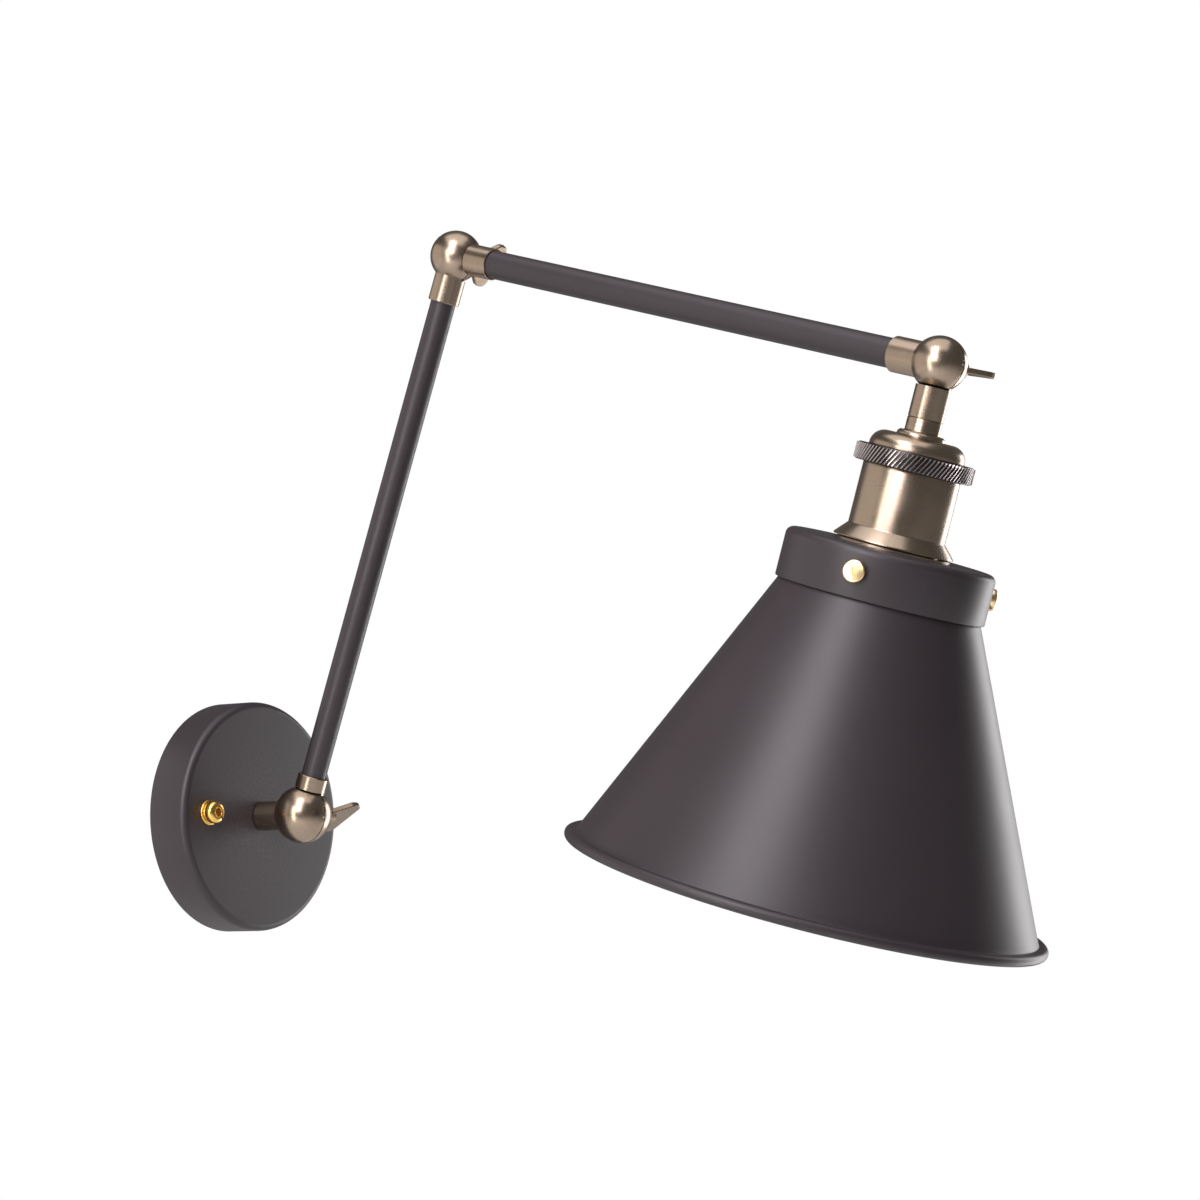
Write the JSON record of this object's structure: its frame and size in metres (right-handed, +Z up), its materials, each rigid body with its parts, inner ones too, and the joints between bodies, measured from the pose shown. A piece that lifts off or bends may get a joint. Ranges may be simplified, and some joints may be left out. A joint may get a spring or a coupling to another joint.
{
  "type": "swing arm wall sconce",
  "caption": "Wall lamp with a round canopy, jointed tubular arms on ball knuckles clamped by wing nuts, a metal lampholder and a flared conical shade.",
  "frame": {"origin": "centre of the wall bracket's back face, on the wall plane, midway between its two screw slots", "axes": "+Y into the wall, -Y out into the room, +Z up, X along the wall and parallel to the three arm pivots"},
  "size_m": [0.1942, 0.3958, 0.3155],
  "materials": {
    "canopy_black": "satin black powder coat",
    "shade_black": "satin black powder coat",
    "arm_black": "satin black powder coat",
    "antique_brass": "brushed antique brass plate",
    "gunmetal": "dark nickel plate, knurled",
    "bright_brass": "polished brass",
    "shell_brass": "plain brass",
    "zinc_steel": "zinc plated steel",
    "white_nylon": "moulded nylon",
    "black_nylon": "moulded nylon",
    "black_fibre": "pressed fibre",
    "porcelain": "glazed porcelain",
    "lead_jacket": "flexible jacket"
  },
  "bodies": {
    "wall_mount": {"canopy": "canopy_black", "mounting_bracket": "zinc_steel", "canopy_studs": "zinc_steel", "stud_hex_nuts": "zinc_steel", "canopy_nuts": "bright_brass", "stem_bushing": "black_nylon", "terminal_block": "white_nylon", "terminal_screws": "zinc_steel", "earth_screw": "bright_brass", "supply_lead": "lead_jacket"},
    "stem": {"stem_knuckle": "antique_brass", "stem_nipple": "zinc_steel", "stem_washer": "zinc_steel", "stem_locknut": "zinc_steel", "base_clamp_stud": "zinc_steel", "stem_lead": "lead_jacket"},
    "lower_arm": {"lower_arm_base_knuckle": "antique_brass", "base_friction_washer": "black_fibre", "lower_arm_tube": "arm_black", "lower_arm_elbow_knuckle": "antique_brass", "elbow_clamp_stud": "zinc_steel", "lower_arm_lead": "lead_jacket"},
    "upper_arm": {"upper_arm_elbow_knuckle": "antique_brass", "elbow_friction_washer": "black_fibre", "upper_arm_tube": "arm_black", "upper_arm_head_knuckle": "antique_brass", "head_clamp_stud": "zinc_steel", "upper_arm_lead": "lead_jacket"},
    "head": {"head_knuckle": "antique_brass", "head_friction_washer": "black_fibre", "holder_nipple": "zinc_steel", "holder_locknut": "zinc_steel", "holder_cap": "antique_brass", "holder_ring": "gunmetal", "holder_shell": "antique_brass", "holder_insulator": "porcelain", "screw_shell": "shell_brass", "centre_contact": "shell_brass", "contact_screws": "shell_brass", "gallery_seat_ring": "antique_brass", "shade_gallery": "shade_black", "gallery_clamp_ring": "shell_brass", "shade": "shade_black", "head_lead": "lead_jacket"},
    "base_wing_nut_turning": {"base_wing_nut": "antique_brass"},
    "elbow_wing_nut_turning": {"elbow_wing_nut": "antique_brass"},
    "head_wing_nut_turning": {"head_wing_nut": "antique_brass"},
    "shade_screw_1_sliding": {"shade_screw_1": "bright_brass"},
    "shade_screw_2_sliding": {"shade_screw_2": "bright_brass"},
    "shade_screw_3_sliding": {"shade_screw_3": "bright_brass"}
  },
  "joints": [
    {"name": "base_swivel", "type": "hinge", "parent": "wall_mount", "child": "stem", "pos_m": [0, -0.02, 0], "axis": [0, 1, 0], "range_deg": [-170, 170]},
    {"name": "base_hinge", "type": "hinge", "parent": "stem", "child": "lower_arm", "pos_m": [0, -0.0435, 0], "axis": [-1, 0, 0], "range_deg": [-160, 19]},
    {"name": "elbow_hinge", "type": "hinge", "parent": "lower_arm", "child": "upper_arm", "pos_m": [0, -0.12695, 0.23566], "axis": [-1, 0, 0], "range_deg": [-14, 120]},
    {"name": "head_hinge", "type": "hinge", "parent": "upper_arm", "child": "head", "pos_m": [0, -0.36628, 0.1634], "axis": [-1, 0, 0], "range_deg": [-10, 180]},
    {"name": "base_wing_nut_turn", "type": "hinge", "parent": "stem", "child": "base_wing_nut_turning", "pos_m": [0.017, -0.0435, 0], "axis": [1, 0, 0], "range_deg": [0, 270]},
    {"name": "elbow_wing_nut_turn", "type": "hinge", "parent": "lower_arm", "child": "elbow_wing_nut_turning", "pos_m": [0.017, -0.12695, 0.23566], "axis": [1, 0, 0], "range_deg": [0, 270]},
    {"name": "head_wing_nut_turn", "type": "hinge", "parent": "upper_arm", "child": "head_wing_nut_turning", "pos_m": [0.017, -0.36628, 0.1634], "axis": [1, 0, 0], "range_deg": [0, 270]},
    {"name": "shade_screw_1_travel", "type": "slide", "parent": "head", "child": "shade_screw_1_sliding", "axis": [0.7254, -0.6569, -0.2058], "range_m": [0, 0.005]},
    {"name": "shade_screw_2_travel", "type": "slide", "parent": "head", "child": "shade_screw_2_sliding", "axis": [-0.9588, -0.271, -0.0849], "range_m": [0, 0.005]},
    {"name": "shade_screw_3_travel", "type": "slide", "parent": "head", "child": "shade_screw_3_sliding", "axis": [0.2334, 0.9279, 0.2908], "range_m": [0, 0.005]}
  ]
}
